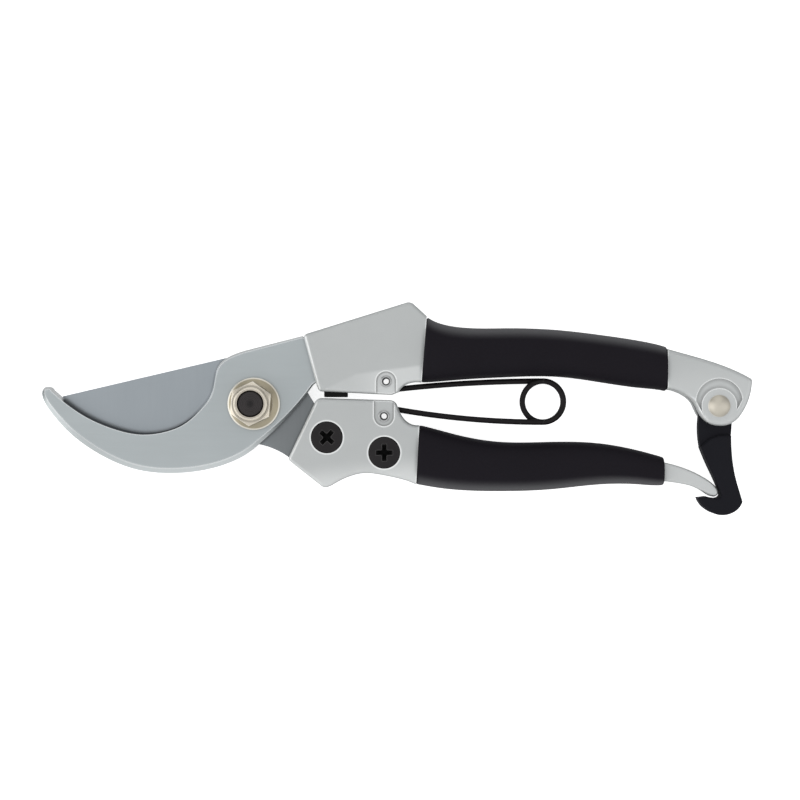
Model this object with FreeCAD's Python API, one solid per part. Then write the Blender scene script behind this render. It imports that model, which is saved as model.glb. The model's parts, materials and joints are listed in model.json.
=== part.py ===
import FreeCAD, Part
import math
import os

# Bypass pruning shears, closed and latched, lying flat.
# The origin is on the pivot axis at the level that the shears rest on. +X runs towards the handle ends,
# +Y towards the upper handle, and +Z up, towards the pivot nut. All sizes are in millimetres.

V = FreeCAD.Vector

# Clearances
running_gap = 0.05  # between faces and bores that turn on each other
side_gap = 0.3  # between pieces that pass each other freely
seat_gap = 0.05  # round a fastener in its own hole
overrun = 1.0  # how far a cutting shape runs past the faces that it opens

# Layers through the thickness
grip_thickness = 14.8
casting_step = 1.7  # a grip stands this far proud of the casting on both sides
casting_thickness = grip_thickness - 2 * casting_step
tail_thickness = 5.0
cutting_blade_thickness = 3.0
hook_blade_thickness = 3.6
hook_bevel_height = 0.9
cutting_edge_thickness = 0.3
middle = grip_thickness / 2
casting_bottom = middle - casting_thickness / 2
casting_top = middle + casting_thickness / 2
bolt_head_thickness = 3.75
cutting_bottom = bolt_head_thickness + running_gap
cutting_top = cutting_bottom + cutting_blade_thickness
hook_bottom = cutting_top + running_gap
hook_top = hook_bottom + hook_blade_thickness

# Pivot stack
bolt_diameter = 7.4
bolt_head_brim = 3.8
bolt_head_diameter = bolt_diameter + 2 * bolt_head_brim
bolt_head_flat_cut = 1.2  # taken off each side of the round head
bolt_head_edge_radius = 0.5
bolt_end_chamfer = 0.5
bolt_end_drop = 0.35  # the bolt's end stops this far below the collar's rim
bush_wall = 1.4
nut_wall = 1.7
nut_flats = bolt_diameter + 2 * nut_wall
nut_height = 5.4
nut_turn = -95.0  # where one corner of the nut points, in degrees
nut_corner_reach = 0.9  # the corners are turned down beyond this
nut_corner_drop = 0.5
nut_shoulder_inset = 0.1
insert_wall = 0.45
insert_height = 1.2
insert_drop = 0.2
collar_wall = 0.7
collar_diameter = bolt_diameter + 2 * (insert_wall + collar_wall)
collar_height = 1.5
collar_edge_radius = 0.55
washer_brim = 1.95
washer_diameter = nut_flats + 2 * washer_brim
washer_thickness = 0.9
washer_rise = 0.8
washer_hole_play = 0.8
washer_hole_diameter = bolt_diameter + 2 * washer_hole_play
washer_shift = 0.5  # the washer sits a little off centre on its loose hole

# Handle castings and their grips
grip_wall = 1.5
grip_end_radius = 0.5
grip_roundness = 2.7  # 2 is an ellipse, more is squarer
upper_grip_lean = 0.75  # each grip's front end leans: its upper edge is this far behind its middle
lower_grip_lean = 0.45
end_step = 0.6  # the grip's end stands this far proud of the upper handle's end
core_reach = 2.0  # how far each core runs on into the casting beyond its grip
lower_core_cover = 3.0  # rubber beyond the lower core's end
casting_edge_radius = 1.1
tail_edge_radius = 0.7
head_corner_radius = 2.2
emboss_depth = 0.4

# Grip sections from the head to the handle's end: x, lower y, upper y, and how much thinner it is there
upper_grip_sections = (
    (48.4, 6.0, 24.6, 0.6), (53.0, 6.3, 22.6, 0.2), (59.0, 6.8, 21.5, 0), (72.0, 7.5, 21.3, 0),
    (86.0, 7.6, 20.8, 0), (99.0, 5.9, 19.3, 0.2), (110.0, 4.4, 17.6, 0.6), (116.7, 3.5, 16.0, 1.2))
lower_grip_sections = (
    (46.6, -22.7, -6.1, 0.6), (52.0, -23.7, -7.3, 0.2), (58.5, -24.4, -9.0, 0), (70.0, -24.7, -10.8, 0),
    (84.0, -24.2, -10.8, 0), (98.0, -22.8, -11.2, 0.4), (109.0, -22.8, -13.2, 1.8),
    (115.9, -23.0, -15.1, 4.0))

# Corners of the two handle heads and of the upper handle's end
upper_head_blade_corner = (14.4, 19.4)
upper_head_notch_corner = (18.2, 5.2)
upper_head_low_corner = (18.9, 3.5)
upper_head_spring_corner = (39.3, 2.5)
upper_head_peak = (44.6, 28.8)
upper_end_corner = (140.5, 6.9)
lower_head_notch_corner = (18.3, 1.65)
lower_head_spring_corner = (40.4, 0.95)
lower_head_blade_corner = (10.1, -15.6)
lower_head_foot = (20.4, -23.8)

# Screws through the handle heads
screw_shank_diameter = 4.6
sleeve_wall = 0.8
sleeve_diameter = screw_shank_diameter + 2 * sleeve_wall
sleeve_head_brim = 1.1
sleeve_head_diameter = sleeve_diameter + 2 * sleeve_head_brim
sleeve_head_height = 1.2
sleeve_head_edge_radius = 0.3
screw_head_brim = 1.35
screw_head_diameter = sleeve_diameter + 2 * screw_head_brim
screw_head_height = 2.2
screw_head_edge_radius = 0.35
screw_end_cover = 1.1  # metal left over the blind end of a hook screw
recess_length = 4.8
recess_width = 1.35
recess_hub = 2.3  # the square between the arms, across its flats
recess_depth = 1.7
hook_screws = ((22.5, 13.0, 20.0), (35.5, 18.0, 65.0))  # x, y and the turn of the cross in degrees
blade_screws = ((21.1, -9.4, 48.0), (37.2, -13.7, 0.0))

# Return spring and its eyelets
wire_diameter = 1.6
wire_layer_gap = 0.1
upper_eye = (37.7, 6.3)
lower_eye = (37.1, -3.5)
coil_centre = (82.0, 0.6)
coil_radius = 5.8
eyelet_barrel = 2.4
eyelet_wall = 0.4
eyelet_hole = eyelet_barrel - 2 * eyelet_wall
eyelet_rim_overhang = 0.35
eyelet_rim = eyelet_barrel + 2 * eyelet_rim_overhang
eyelet_rim_height = 0.35
eyelet_mouth_flare = 0.2
eyelet_rim_bevel = 0.2
eyelet_rim_drop = 0.15
loop_play = 0.5
loop_radius = eyelet_barrel / 2 + loop_play + wire_diameter / 2
loop_leave = 0.3  # each leg leaves its loop this far past the eyelet's centre
tab_half_width = 2.8
tab_length = 8.0
upper_wire_z = middle - (wire_diameter + wire_layer_gap) / 2
lower_wire_z = middle + (wire_diameter + wire_layer_gap) / 2
leg_swing = 40.0  # degrees that each leg may turn about its eyelet
leg_play = 1.5  # degrees of room on both sides of that swing
slot_reach = 11.0
lower_loop_play = 0.35  # the lower loop wanders this much on its eyelet as the handles open

# Rubber stop between the handle heads
bumper_length = 6.5
bumper_left = 20.3
bumper_width = 8.0
bumper_bottom = 1.85
bumper_top = 5.0
bumper_edge_radius = 0.3

# Catch at the handle ends
catch_centre = (131.1, -0.6)
catch_shoulder = (126.3, -12.2)  # where the catch steps up from its thin tongue
catch_thickness = 7.0
tongue_thickness = 3.7
fork_play = 0.15
fork_gap = tongue_thickness + 2 * fork_play
fork_slot_radius = 9.1
tongue_radius = 5.3
catch_edge_radius = 0.9
rivet_diameter = 3.8
rivet_head_diameter = 6.3
rivet_head_height = 1.3
catch_bush_wall = 0.8
catch_bush_diameter = rivet_diameter + 2 * catch_bush_wall
boss_radius = 5.0
boss_pocket_radius = 6.5
boss_pocket_shift = 1.2
boss_pocket_depth = 0.8
# The pocket's two slanted ends: a window, measured from the catch's pivot, that it stays inside
boss_pocket_window = ((-4.4, -2.4), (-6.5, 1.4), (-8.0, 9.0), (8.0, 9.0), (6.9, 2.6), (4.6, -1.6))


def outline(start, *stretches):
    """A flat face whose edge runs from start through straight and curved stretches and back."""
    edges = []
    here = V(*start)
    for stretch in stretches:
        spots = [here] + [V(*spot) for spot in stretch]
        if len(spots) == 2:
            edges.append(Part.makeLine(spots[0], spots[1]))
        else:
            curve = Part.BSplineCurve()
            curve.interpolate(spots)
            edges.append(curve.toShape())
        here = spots[-1]
    if here.distanceToPoint(V(*start)) > 0.001:
        edges.append(Part.makeLine(here, V(*start)))
    return Part.Face(Part.Wire(edges))


def slab(face, bottom, top):
    return face.translated(V(0, 0, bottom)).extrude(V(0, 0, top - bottom))


def disc(centre, radius, bottom, top):
    return Part.makeCylinder(radius, top - bottom, V(centre[0], centre[1], bottom))


def round_corners(solid, radius, *spots):
    """Rounds the upright edges that stand at the given spots."""
    chosen = []
    for edge in solid.Edges:
        low, high = edge.BoundBox, edge.BoundBox.ZLength
        upright = high > 0.5 and low.XLength < 0.01 and low.YLength < 0.01
        if upright and any(math.dist((low.XMin, low.YMin), spot) < 0.05 for spot in spots):
            chosen.append(edge)
    return solid.makeFillet(radius, chosen)


def level_edges(solid, level):
    return [edge for edge in solid.Edges
            if abs(edge.BoundBox.ZMin - level) < 0.001 and abs(edge.BoundBox.ZMax - level) < 0.001]


def soften(solid, radius, *levels, butt=()):
    """Rounds every edge at the given heights, but not the one between butt's ends, where a grip butts."""
    edges = []
    for level in levels:
        for edge in level_edges(solid, level):
            ends = [(vertex.X, vertex.Y) for vertex in edge.Vertexes]
            if not all(any(math.dist(end, spot) < 0.01 for spot in butt) for end in ends):
                edges.append(edge)
    return solid.makeFillet(radius, edges)


def revolve(centre, *profile):
    """Turns a closed profile of (radius, height) points about the upright axis through centre."""
    spots = [V(centre[0] + radius, centre[1], height) for radius, height in profile]
    face = Part.Face(Part.makePolygon(spots + spots[:1]))
    return face.revolve(V(centre[0], centre[1], 0), V(0, 0, 1), 360)


def hexagon(flats, bottom, top, turn):
    corner = flats / math.sqrt(3)
    spots = []
    for side in range(7):
        angle = math.radians(60 * side + turn)
        spots.append(V(corner * math.cos(angle), corner * math.sin(angle), bottom))
    return Part.Face(Part.makePolygon(spots)).extrude(V(0, 0, top - bottom))


# Outlines

hook_outline = (
    [(-59.3, 2.9, 0.8)],
    [(-58.8, 0.9, 1.1), (-57.1, -1.9, 1.3), (-51.8, -7.9, 1.4), (-43.3, -14.1, 1.4), (-32.5, -18.6, 1.4),
     (-22.5, -19.6, 1.4), (-12.5, -18.5, 1.4), (-3.7, -15.4, 1.3), (2.3, -10.9, 1.0)],
    [(9.9, -3.6, 0.5), (17.0, 5.2, 0.3)],
    [(19.0, 7.0, 0)],
    [(30.0, 9.5, 0)],
    [(40.5, 13.5, 0)],
    [(41.5, 23.5, 0)],
    [(36.0, 23.8, 0)],
    [(16.6, 17.6, 0)],
    [(14.1, 19.1, 0.4)],
    [(-2.0, 15.0, 0.5)],
    [(-6.5, 13.3, 0.5), (-9.2, 11.2, 0.4), (-10.5, 8.0, 0.3), (-11.7, 2.6, 0.3), (-14.4, -1.2, 0.3),
     (-19.8, -5.7, 0.4), (-25.2, -7.7, 0.4), (-31.0, -8.2, 0.5), (-38.8, -6.6, 0.55), (-47.0, -3.0, 0.55),
     (-53.5, 1.6, 0.55), (-56.1, 3.9, 0.6)],
    [(-57.3, 4.8, 0.6), (-58.5, 4.6, 0.7), (-59.2, 3.6, 0.8)])

cutting_outline = (
    [(-53.9, 2.1, 0.8)],
    [(-48.3, -4.6, 3.0), (-40.0, -8.2, 4.2), (-31.0, -9.8, 4.6), (-24.5, -9.5, 4.6), (-17.5, -8.1, 4.0),
     (-10.0, -8.6, 2.0), (-3.0, -10.7, 0), (2.3, -11.6, 0), (6.0, -12.8, 0), (10.4, -15.4, 0)],
    [(14.0, -17.6, 0)],
    [(24.0, -18.0, 0)],
    [(42.5, -17.8, 0)],
    [(42.5, -9.3, 0)],
    [(32.0, -7.5, 0)],
    [(20.5, -2.5, 0)],
    [(17.2, 0.2, 0)],
    [(15.8, 2.5, 0), (12.8, 7.2, 0), (7.5, 11.8, 0), (0.0, 14.0, 0), (-6.5, 13.2, 0.5)])


def pulled_in(stretches):
    """The outline of a bevel's far side: every point goes inwards by its own bevel width."""
    spots = [V(x, y) for stretch in stretches for x, y, width in stretch]
    widths = [width for stretch in stretches for x, y, width in stretch]
    inner = []
    for before, spot, after, width in zip(spots[-1:] + spots[:-1], spots, spots[1:] + spots[:1], widths):
        arriving = (spot - before).normalize()
        leaving = (after - spot).normalize()
        along = (arriving + leaving).normalize()
        reach = width / max(along.dot(arriving), 0.7)
        inner.append((spot.x - along.y * reach, spot.y + along.x * reach))
    ends = []
    for stretch in stretches:
        ends.append(inner[:len(stretch)])
        inner = inner[len(stretch):]
    return outline(ends[0][0], *ends[1:])


def whole_face(stretches):
    flat = [[(x, y) for x, y, width in stretch] for stretch in stretches]
    return outline(flat[0][0], *flat[1:])


def bevelled_plate(stretches, full_low, full_high, bevel_level):
    """A plate between two full levels, with a bevel that ends at bevel_level, above or below."""
    plate = slab(whole_face(stretches), full_low, full_high)
    meeting = full_high if bevel_level > full_high else full_low
    base = whole_face(stretches).OuterWire.translated(V(0, 0, meeting))
    far = pulled_in(stretches).OuterWire.translated(V(0, 0, bevel_level))
    return plate.fuse(Part.makeLoft([base, far], True, True)).removeSplitter()


def hook_blank():
    """The hook blade without its holes: beak, pivot plate and the tang inside the upper handle."""
    return bevelled_plate(hook_outline, hook_bottom, hook_top - hook_bevel_height, hook_top)


def cutting_blank():
    """The cutting blade without its holes: its ground edge, pivot plate and tang in the lower handle."""
    return bevelled_plate(cutting_outline, cutting_top - cutting_edge_thickness, cutting_top, cutting_bottom)


def front_edge(sections, lean):
    """The lower and upper ends of the line along which a grip butts on its head."""
    x, low, high = sections[0][:3]
    return (x - lean, low), (x + lean, high)


def back_edge(sections):
    x, low, high = sections[-1][:3]
    return (x, low + end_step), (x, high - end_step)


def upper_head_face():
    grip_low, grip_high = front_edge(upper_grip_sections, upper_grip_lean)
    return outline(
        upper_head_blade_corner, [upper_head_notch_corner], [upper_head_low_corner],
        [upper_head_spring_corner], [(41.3, 3.3)], [(42.2, 4.6), (43.8, 5.6), grip_low],
        [grip_high], [upper_head_peak])


def lower_head_face():
    grip_low, grip_high = front_edge(lower_grip_sections, lower_grip_lean)
    return outline(
        lower_head_notch_corner, [lower_head_spring_corner],
        [(41.6, -2.4), (43.4, -4.9), grip_high], [grip_low],
        [(45.0, -22.2), (37.0, -20.1), (31.7, -19.5), (26.5, -20.8), (22.6, -22.9)],
        [lower_head_foot], [lower_head_blade_corner])


def upper_end_face():
    grip_low, grip_high = back_edge(upper_grip_sections)
    return outline(
        grip_low,
        [(121.5, 2.6), (124.1, 0.5), (125.7, -2.7), (128.3, -5.4), (131.6, -6.2),
         (135.0, -5.3), (138.0, -2.0), (140.1, 3.4), upper_end_corner],
        [(134.2, 10.0), (125.0, 13.1), grip_high])


def tail_face():
    return outline(
        (110.0, -21.2),
        [(116.5, -21.9), (121.6, -22.7), (125.3, -23.8), (127.5, -25.1), (129.2, -26.05), (130.6, -26.05),
         (131.3, -25.1), (130.95, -23.85), (129.85, -22.6), (127.5, -20.9), (123.9, -19.0), (120.2, -17.6),
         (116.5, -16.6), (110.0, -15.6)])


def catch_face():
    return outline(
        catch_shoulder,
        [(127.0, -14.0), (128.6, -17.7), (130.45, -21.6), (131.85, -25.4)],
        [(131.75, -26.2), (131.0, -26.6), (129.8, -26.6), (127.9, -26.2)],
        [(125.5, -26.5)],
        [(126.1, -27.9), (128.5, -30.2), (132.3, -31.4), (136.2, -30.2), (138.1, -27.6)],
        [(137.2, -24.6), (136.1, -20.7), (135.2, -15.3), (134.9, -9.0)],
        [(132.6, -8.8), (129.6, -9.5), (127.4, -11.1), catch_shoulder])


def tongue_face():
    return outline(
        (126.2, -2.2), [(125.8, -8.0), catch_shoulder], [(129.5, -16.0)], [(133.6, -16.0)],
        [(134.9, -9.0), (135.2, -4.8)])


# Handles

def oval(x, low, high, thinning, inset, lean):
    """One cross-section of a grip or of the core inside it, which leans back towards its upper edge."""
    half_height = (high - low) / 2 - inset
    half_depth = (grip_thickness - thinning) / 2 - inset
    spots = []
    for step in range(16):
        angle = math.radians(22.5 * step)
        across, up = math.cos(angle), math.sin(angle)
        y = math.copysign(abs(across) ** (2 / grip_roundness), across) * half_height
        z = math.copysign(abs(up) ** (2 / grip_roundness), up) * half_depth
        spots.append(V(x + lean * y / half_height, (low + high) / 2 + y, middle + z))
    curve = Part.BSplineCurve()
    curve.interpolate(Points=spots, PeriodicFlag=True)
    return Part.Wire([curve.toShape()])


def sleeve(sections, lean, inset, before, after):
    """A solid through grip sections, drawn in by inset, whose ends move by before and after."""
    wires = []
    for place, (x, low, high, thinning) in enumerate(sections):
        shift = -before if place == 0 else after if place == len(sections) - 1 else 0
        wires.append(oval(x + shift, low, high, thinning, inset, lean if place == 0 else 0))
    return Part.makeLoft(wires, True, False)


def leg_ends(eye, side):
    """Where a spring leg leaves its loop and where it meets the coil, and the radius it is bowed to."""
    leave = V(eye[0] + loop_leave, eye[1] - side * loop_radius)
    meet = V(coil_centre[0], coil_centre[1] + side * coil_radius)
    run, rise = meet.x - leave.x, side * (meet.y - leave.y)
    return leave, meet, (run * run + rise * rise) / (2 * rise)


def leg_slope(eye, side):
    leave, meet, bow = leg_ends(eye, side)
    return math.asin((meet.x - leave.x) / bow)


def spring_slot(eye, level, side, play):
    """Room in a handle head for the spring's loop and for its leg through the whole swing."""
    half = wire_diameter / 2 + side_gap
    near, far = loop_radius - half - play, loop_radius + half + play
    hub = V(*eye)
    rest = math.degrees(leg_slope(eye, side))

    def leg_line(degrees, offset):
        angle = math.radians(degrees * side)
        ahead = V(math.cos(angle), math.sin(angle))
        start = hub + V(math.sin(angle), -math.cos(angle)) * (offset * side)
        return [start, start + ahead * slot_reach]

    inner = leg_line(rest + leg_play, near)
    outer = leg_line(rest - leg_swing - leg_play, far)
    fan = Part.Face(Part.makePolygon(inner + outer[::-1] + inner[:1]))
    ring = disc(eye, far, level - half, level + half)
    return ring.fuse(slab(fan, level - half, level + half))


def tab_recess(eye, direction, level, depth):
    """The shallow arched recess round an eyelet, open towards the other handle."""
    arch = disc(eye, tab_half_width, level - depth, level + overrun)
    low = eye[1] if direction > 0 else eye[1] - tab_length
    block = Part.makeBox(2 * tab_half_width, tab_length, depth + overrun,
                         V(eye[0] - tab_half_width, low, level - depth))
    return arch.fuse(block)


def screw_room(spots, head_bottom, head_top, shank_bottom, shank_top, shank_diameter, head_diameter):
    room = []
    for x, y, turn in spots:
        room.append(disc((x, y), head_diameter / 2 + seat_gap, head_bottom, head_top))
        room.append(disc((x, y), shank_diameter / 2 + seat_gap, shank_bottom, shank_top))
    return room[0].multiFuse(room[1:])


def boss_pocket():
    """The shallow crescent over the boss that the catch's rivet goes through."""
    floor, top = casting_top - boss_pocket_depth, casting_top + overrun
    x, y = catch_centre
    crescent = disc((x, y + boss_pocket_shift), boss_pocket_radius, floor, top)
    crescent = crescent.cut(disc(catch_centre, boss_radius, floor, top))
    window = Part.makePolygon([V(x + across, y + up) for across, up in
                               boss_pocket_window + boss_pocket_window[:1]])
    return crescent.common(slab(Part.Face(window), floor, top))


def upper_casting():
    head = slab(upper_head_face(), casting_bottom, casting_top)
    head = round_corners(head, head_corner_radius, upper_head_peak)
    head = round_corners(head, casting_edge_radius, upper_head_low_corner, upper_head_notch_corner,
                         upper_head_spring_corner, upper_head_blade_corner)
    head = soften(head, casting_edge_radius, casting_bottom, casting_top,
                  butt=front_edge(upper_grip_sections, upper_grip_lean))
    end = slab(upper_end_face(), casting_bottom, casting_top)
    end = round_corners(end, casting_edge_radius, upper_end_corner)
    end = soften(end, casting_edge_radius, casting_bottom, casting_top, butt=back_edge(upper_grip_sections))
    end = end.cut(boss_pocket())
    end = end.cut(disc(catch_centre, fork_slot_radius, middle - fork_gap / 2, middle + fork_gap / 2))
    end = end.cut(disc(catch_centre, rivet_diameter / 2 + seat_gap, -overrun, grip_thickness + overrun))
    core = sleeve(upper_grip_sections, upper_grip_lean, grip_wall, core_reach, core_reach)
    casting = head.multiFuse([core, end])
    casting = casting.cut(hook_blank())
    casting = casting.cut(screw_room(hook_screws, casting_bottom - overrun,
                                     casting_bottom + screw_head_height,
                                     casting_bottom, casting_top - screw_end_cover,
                                     screw_shank_diameter, screw_head_diameter))
    casting = casting.cut(spring_slot(upper_eye, upper_wire_z, 1, 0))
    casting = casting.cut(disc(upper_eye, eyelet_barrel / 2 + seat_gap, -overrun, grip_thickness + overrun))
    casting = casting.cut(tab_recess(upper_eye, -1, casting_top, emboss_depth))
    casting = casting.cut(Part.makeBox(bumper_length, bumper_top, bumper_width,
                                       V(bumper_left, 0, middle - bumper_width / 2)))
    return casting.removeSplitter()


def lower_casting():
    head = slab(lower_head_face(), casting_bottom, casting_top)
    head = round_corners(head, head_corner_radius, lower_head_foot, lower_head_spring_corner,
                         lower_head_notch_corner)
    head = round_corners(head, casting_edge_radius, lower_head_blade_corner)
    head = soften(head, casting_edge_radius, casting_bottom, casting_top,
                  butt=front_edge(lower_grip_sections, lower_grip_lean))
    tail = slab(tail_face(), middle - tail_thickness / 2, middle + tail_thickness / 2)
    tail = soften(tail, tail_edge_radius, middle - tail_thickness / 2, middle + tail_thickness / 2)
    core = sleeve(lower_grip_sections, lower_grip_lean, grip_wall, core_reach, -lower_core_cover)
    casting = head.multiFuse([core, tail])
    casting = casting.cut(cutting_blank())
    casting = casting.cut(screw_room(blade_screws, casting_top - screw_head_height, casting_top + overrun,
                                     casting_bottom, casting_top, sleeve_diameter, screw_head_diameter))
    casting = casting.cut(screw_room(blade_screws, casting_bottom - overrun,
                                     casting_bottom + sleeve_head_height,
                                     casting_bottom, casting_bottom + overrun, sleeve_diameter,
                                     sleeve_head_diameter))
    casting = casting.cut(spring_slot(lower_eye, lower_wire_z, -1, lower_loop_play))
    casting = casting.cut(disc(lower_eye, eyelet_barrel / 2 + seat_gap, -overrun, grip_thickness + overrun))
    casting = casting.cut(tab_recess(lower_eye, 1, casting_top, emboss_depth))
    return casting.removeSplitter()


def grip(sections, lean, casting):
    """The dipped rubber sleeve over a casting."""
    outer = sleeve(sections, lean, 0, 0, 0)
    ends = [edge for edge in outer.Edges if edge.isClosed()]
    return outer.makeFillet(grip_end_radius, ends).cut(casting)


# Blades and the pivot

def drilled(blade, pivot_gap, places, hole_diameter):
    blade = blade.cut(disc((0, 0), bolt_diameter / 2 + bush_wall + pivot_gap, 0, grip_thickness))
    for x, y, turn in places:
        blade = blade.cut(disc((x, y), hole_diameter / 2 + seat_gap, 0, grip_thickness))
    return blade


def nut_bottom():
    return hook_top + washer_thickness + washer_rise


def pivot_bolt():
    head = disc((0, 0), bolt_head_diameter / 2, 0, bolt_head_thickness)
    flats = bolt_head_diameter - 2 * bolt_head_flat_cut
    head = head.common(Part.makeBox(flats, 2 * bolt_head_diameter, bolt_head_thickness,
                                    V(-flats / 2, -bolt_head_diameter, 0)))
    head = soften(head, bolt_head_edge_radius, 0)
    end = nut_bottom() + nut_height + collar_height - bolt_end_drop
    shank = disc((0, 0), bolt_diameter / 2, bolt_head_thickness, end)
    shank = shank.makeChamfer(bolt_end_chamfer, level_edges(shank, end))
    return head.fuse(shank)


def pivot_bush():
    tube = disc((0, 0), bolt_diameter / 2 + bush_wall, cutting_bottom, hook_top - running_gap)
    return tube.cut(disc((0, 0), bolt_diameter / 2 + seat_gap, 0, grip_thickness))


def pivot_washer():
    outer, inner = washer_diameter / 2, washer_hole_diameter / 2
    flat = nut_flats / 2
    return revolve((washer_shift, 0),
                   (inner, hook_top + washer_rise), (outer, hook_top), (outer, hook_top + washer_thickness),
                   (flat, hook_top + washer_thickness + washer_rise),
                   (inner, hook_top + washer_thickness + washer_rise))


def pivot_nut():
    bottom = nut_bottom()
    shoulder = bottom + nut_height
    top = shoulder + collar_height
    body = hexagon(nut_flats, bottom, shoulder, nut_turn)
    flat = nut_flats / 2
    cone = revolve((0, 0), (0, bottom), (flat + nut_height, bottom),
                   (flat + nut_corner_reach, shoulder - nut_corner_drop),
                   (flat - nut_shoulder_inset, shoulder), (0, shoulder))
    body = body.common(cone)
    collar = disc((0, 0), collar_diameter / 2, shoulder, top)
    collar = collar.makeFillet(collar_edge_radius, level_edges(collar, top))
    nut = body.fuse(collar)
    nut = nut.cut(disc((0, 0), bolt_diameter / 2 + seat_gap, 0, 2 * grip_thickness))
    return nut.cut(disc((0, 0), bolt_diameter / 2 + insert_wall, top - insert_height,
                        top + overrun))


def nut_insert():
    top = nut_bottom() + nut_height + collar_height
    ring = disc((0, 0), bolt_diameter / 2 + insert_wall, top - insert_height, top - insert_drop)
    return ring.cut(disc((0, 0), bolt_diameter / 2 + seat_gap, 0, 2 * grip_thickness))


# Fasteners

def rectangle(half, thin, level):
    return Part.makePolygon([V(-half, -thin, level), V(half, -thin, level), V(half, thin, level),
                             V(-half, thin, level), V(-half, -thin, level)])


def cross_recess(x, y, turn, mouth, direction):
    """The crossed recess in a screw head, narrowing towards its floor."""
    floor = mouth - direction * recess_depth
    arms = []
    bars = ((recess_length, recess_width, 0), (recess_length, recess_width, 90),
            (recess_hub, recess_hub, 45))
    for long, wide, angle in bars:
        mouth_edge = rectangle(long / 2, wide / 2, mouth)
        floor_edge = rectangle(long / 4, wide / 4, floor)
        arm = Part.makeLoft([mouth_edge, floor_edge], True, True)
        arm.rotate(V(0, 0, 0), V(0, 0, 1), turn + angle)
        arm.translate(V(x, y, 0))
        arms.append(arm)
    return arms[0].multiFuse(arms[1:])


def hook_screw(x, y, turn):
    head = disc((x, y), screw_head_diameter / 2, casting_bottom, casting_bottom + screw_head_height)
    head = soften(head, screw_head_edge_radius, casting_bottom)
    shank = disc((x, y), screw_shank_diameter / 2, casting_bottom + screw_head_height,
                 casting_top - screw_end_cover)
    return head.fuse(shank).cut(cross_recess(x, y, turn, casting_bottom, -1))


def blade_screw(x, y, turn):
    head = disc((x, y), screw_head_diameter / 2, casting_top - screw_head_height, casting_top)
    head = soften(head, screw_head_edge_radius, casting_top)
    shank = disc((x, y), screw_shank_diameter / 2, cutting_bottom, casting_top - screw_head_height)
    return head.fuse(shank).cut(cross_recess(x, y, turn, casting_top, 1))


def sleeve_nut(x, y, turn):
    head = disc((x, y), sleeve_head_diameter / 2, casting_bottom, casting_bottom + sleeve_head_height)
    head = soften(head, sleeve_head_edge_radius, casting_bottom)
    barrel = disc((x, y), sleeve_diameter / 2, casting_bottom + sleeve_head_height,
                  casting_top - screw_head_height - side_gap)
    bore = disc((x, y), screw_shank_diameter / 2 + seat_gap, cutting_bottom - side_gap, casting_top)
    slot = Part.makeBox(sleeve_head_diameter, recess_width, sleeve_head_height / 2,
                        V(x - sleeve_head_diameter / 2, y - recess_width / 2, casting_bottom))
    slot.rotate(V(x, y, 0), V(0, 0, 1), turn)
    return head.fuse(barrel).cut(bore).cut(slot)


def eyelet(eye, top):
    """A hollow rivet: a thin barrel with a rolled rim at each end."""
    barrel, rim, hole = eyelet_barrel / 2, eyelet_rim / 2, eyelet_hole / 2
    low = casting_bottom - eyelet_rim_height
    high = top + eyelet_rim_height
    flare, bevel, drop = eyelet_mouth_flare, eyelet_rim_bevel, eyelet_rim_drop
    return revolve(eye, (hole + flare, low), (rim - bevel, low), (rim, low + drop), (rim, casting_bottom),
                   (barrel, casting_bottom), (barrel, top), (rim, top), (rim, high - drop),
                   (rim - bevel, high), (hole + flare, high), (hole, high - flare), (hole, low + flare))


def bumper():
    block = Part.makeBox(bumper_length, bumper_top - bumper_bottom, bumper_width,
                         V(bumper_left, bumper_bottom, middle - bumper_width / 2))
    lower = [edge for edge in block.Edges if edge.BoundBox.YMax < bumper_bottom + 0.01]
    return block.makeFillet(bumper_edge_radius, lower)


# Return spring

def tube(path, start, direction):
    profile = Part.Wire(Part.makeCircle(wire_diameter / 2, start, direction))
    return path.makePipeShell([profile], True, False)


def spring_arm(eye, level, side):
    """A loop on its eyelet, a leg, and three quarters of a turn of the coil, all in one layer."""
    leave, meet, bow = leg_ends(eye, side)
    slope = leg_slope(eye, side)
    between = V(meet.x - bow * math.sin(slope / 2), meet.y - side * bow * (1 - math.cos(slope / 2)))
    leg = Part.Arc(leave, between, meet).toShape()
    turn = [V(coil_centre[0] + coil_radius * math.cos(math.radians(angle)),
              coil_centre[1] + side * coil_radius * math.sin(math.radians(angle)))
            for angle in (-45, -180)]
    coil = Part.Arc(meet, turn[0], turn[1]).toShape()
    along = V(math.cos(slope), side * math.sin(slope))
    aside = V(-side * along.y, side * along.x)
    hub = leave + aside * loop_radius
    far = hub + aside * loop_radius
    loop = Part.Arc(far, hub - along * loop_radius, leave).toShape()
    path = Part.Wire([loop, leg, coil])
    return tube(path, far, along * -1).translated(V(0, 0, level))


# Catch

def catch_rivet():
    centre = catch_centre
    radius, head = rivet_diameter / 2, rivet_head_diameter / 2
    solid = disc(centre, radius, casting_bottom, casting_top)
    ball_radius = (head * head + rivet_head_height * rivet_head_height) / (2 * rivet_head_height)
    for level, side in ((casting_bottom, -1), (casting_top, 1)):
        ball = Part.makeSphere(ball_radius, V(centre[0], centre[1],
                                              level + side * (rivet_head_height - ball_radius)))
        low = level if side > 0 else level - rivet_head_height
        cap = ball.common(Part.makeBox(2 * head, 2 * head, rivet_head_height,
                                       V(centre[0] - head, centre[1] - head, low)))
        solid = solid.fuse(cap)
    return solid


def catch_bush():
    low = middle - fork_gap / 2 + running_gap
    high = middle + fork_gap / 2 - running_gap
    tube_solid = disc(catch_centre, catch_bush_diameter / 2, low, high)
    return tube_solid.cut(disc(catch_centre, rivet_diameter / 2 + seat_gap, low - overrun,
                               high + overrun))


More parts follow.
